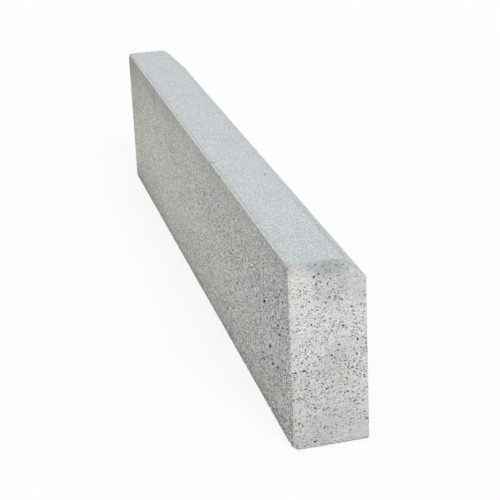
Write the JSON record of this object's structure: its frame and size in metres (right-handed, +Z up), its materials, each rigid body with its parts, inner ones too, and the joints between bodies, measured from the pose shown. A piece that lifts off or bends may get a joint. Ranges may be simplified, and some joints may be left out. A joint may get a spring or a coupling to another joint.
{
  "type": "concrete kerb stone",
  "caption": "Straight concrete kerb stone of rectangular section with one chamfered top edge, set on its bed to edge a path or road.",
  "frame": {"origin": "middle of the bed, the flat underside that the stone stands on", "axes": "+Z up from the bed, Y along the stone with the near end at -Y, X across it from the plain back face at -X to the chamfered road face at +X"},
  "size_m": [0.08, 1, 0.2],
  "materials": {
    "concrete": "raw pressed concrete, pale grey: smooth bluish top and chamfer, sandy sides, open pitted ends"
  },
  "bodies": {
    "root": {"kerb_stone": "concrete"}
  },
  "joints": []
}
